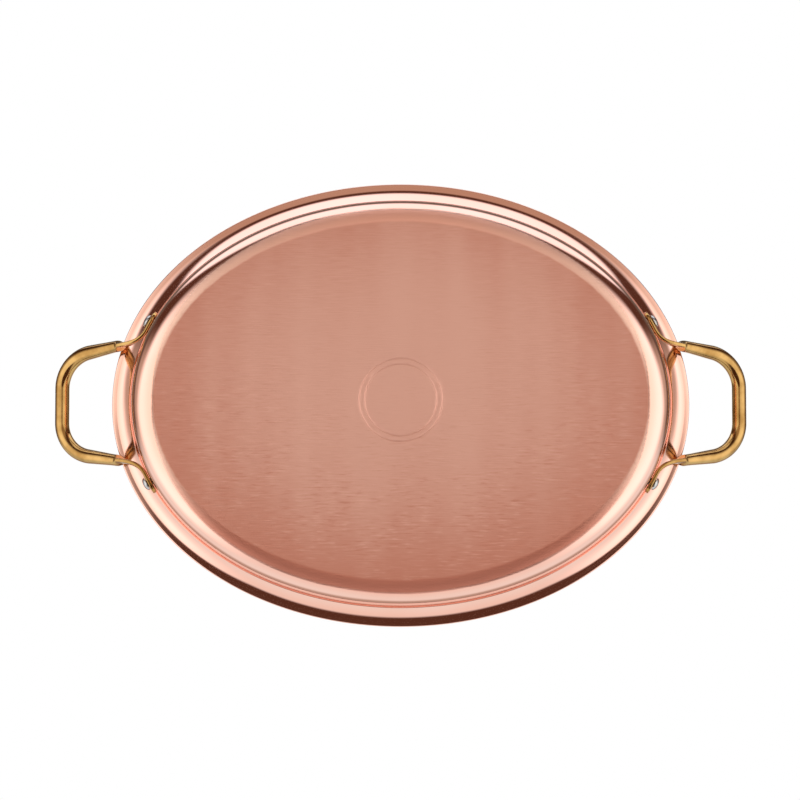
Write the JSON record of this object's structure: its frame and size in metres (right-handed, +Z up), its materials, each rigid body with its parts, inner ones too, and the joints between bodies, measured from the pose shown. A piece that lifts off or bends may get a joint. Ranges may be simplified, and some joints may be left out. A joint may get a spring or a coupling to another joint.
{
  "type": "oval pan with lid",
  "caption": "Shallow oval copper pan with a flared lip, riveted brass loop handles and a domed lift-off lid with a brass bow handle.",
  "frame": {"origin": "middle of the base's underside, on the surface that the pan stands on", "axes": "+Z up, +X along the oval from one handle to the other, -Y the front"},
  "size_m": [0.386, 0.246, 0.0901],
  "materials": {
    "copper": "polished copper, brushed under the base, tinned inside",
    "brass": "polished",
    "rivet_alloy": "satin"
  },
  "bodies": {
    "pan": {"pan_body": "copper", "left_handle": "brass", "right_handle": "brass", "left_front_rivet": "rivet_alloy", "left_back_rivet": "rivet_alloy", "right_front_rivet": "rivet_alloy", "right_back_rivet": "rivet_alloy"},
    "lid": {"lid_shell": "copper", "lid_handle": "brass", "lid_left_rivet": "rivet_alloy", "lid_right_rivet": "rivet_alloy"}
  },
  "joints": [
    {"name": "lid_lift", "type": "slide", "parent": "pan", "child": "lid", "axis": [0, 0, 1], "range_m": [0, 0.1]}
  ]
}
